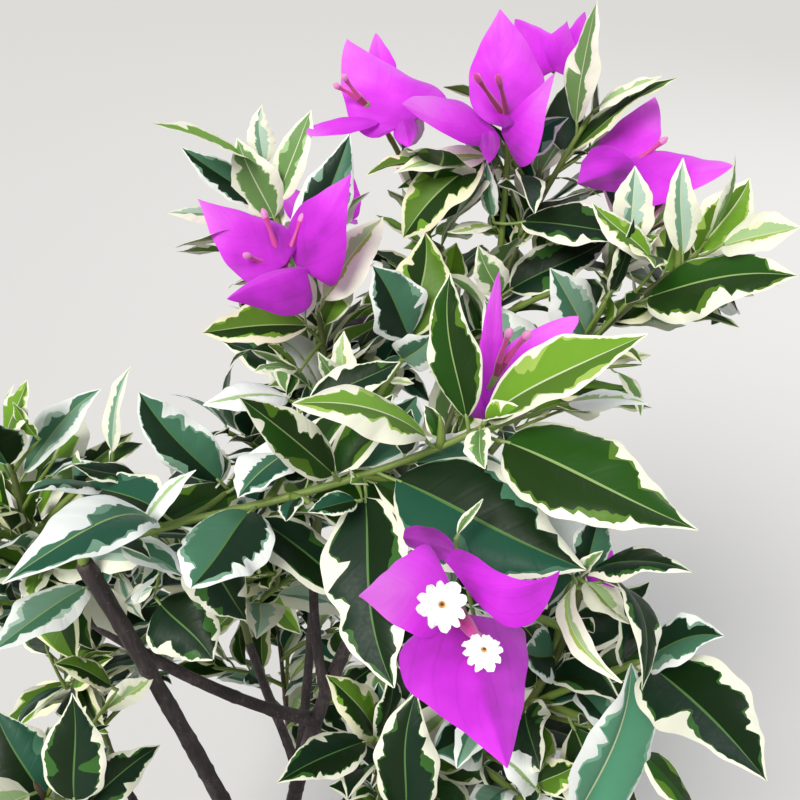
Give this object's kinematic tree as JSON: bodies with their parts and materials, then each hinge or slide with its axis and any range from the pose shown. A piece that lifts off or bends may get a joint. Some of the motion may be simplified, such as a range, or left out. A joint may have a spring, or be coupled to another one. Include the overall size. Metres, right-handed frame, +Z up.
{
  "type": "bougainvillea bush",
  "caption": "Young woody bush with forked stem, cream-edged oval leaves in loose sprays and papery three-bract magenta blooms, rooted in level ground.",
  "frame": {"origin": "centre of the flat cut under the main stem, at ground level", "axes": "+Z up, +Y away from the viewer of the picture, +X to the viewer's right"},
  "size_m": [0.3987, 0.3839, 0.6253],
  "materials": {
    "bark": "rough brown bark",
    "leaf": "soft green leaf blade with a cream edge",
    "bract": "papery magenta bract"
  },
  "bodies": {
    "root": {"main_stem": "bark", "bough_centre": "bark", "bough_left": "bark", "bough_side": "bark", "bough_top_left": "bark", "bough_inner": "bark", "bough_top_right": "bark", "bough_front_right": "bark", "bough_front_low": "bark", "bough_left_low": "bark", "bough_left_under": "bark", "bough_front_under": "bark", "bough_right_front": "bark", "bough_right_low": "bark", "bough_back": "bark", "bough_back_right": "bark", "bough_back_low": "bark", "bough_left_back": "bark", "foliage_front_centre": "leaf", "foliage_left": "leaf", "foliage_left_low": "leaf", "foliage_inner": "leaf", "foliage_top_left": "leaf", "foliage_top_back": "leaf", "foliage_top_right": "leaf", "foliage_front_right": "leaf", "foliage_front_low": "leaf", "foliage_left_under": "leaf", "foliage_front_under": "leaf", "foliage_right_front": "leaf", "foliage_right_low": "leaf", "foliage_back": "leaf", "foliage_back_right": "leaf", "foliage_back_low": "leaf", "foliage_left_back": "leaf", "bloom_top_left": "bract", "bloom_top_centre": "bract", "bloom_far_left": "bract", "bloom_far_top": "bract", "bloom_top_right": "bract", "bloom_centre": "bract", "bloom_front": "bract", "bloom_left_back": "bract", "bloom_back": "bract", "bloom_back_side": "bract", "bloom_right": "bract", "bloom_back_low": "bract", "bloom_right_low": "bract", "bloom_front_under": "bract"}
  },
  "joints": []
}
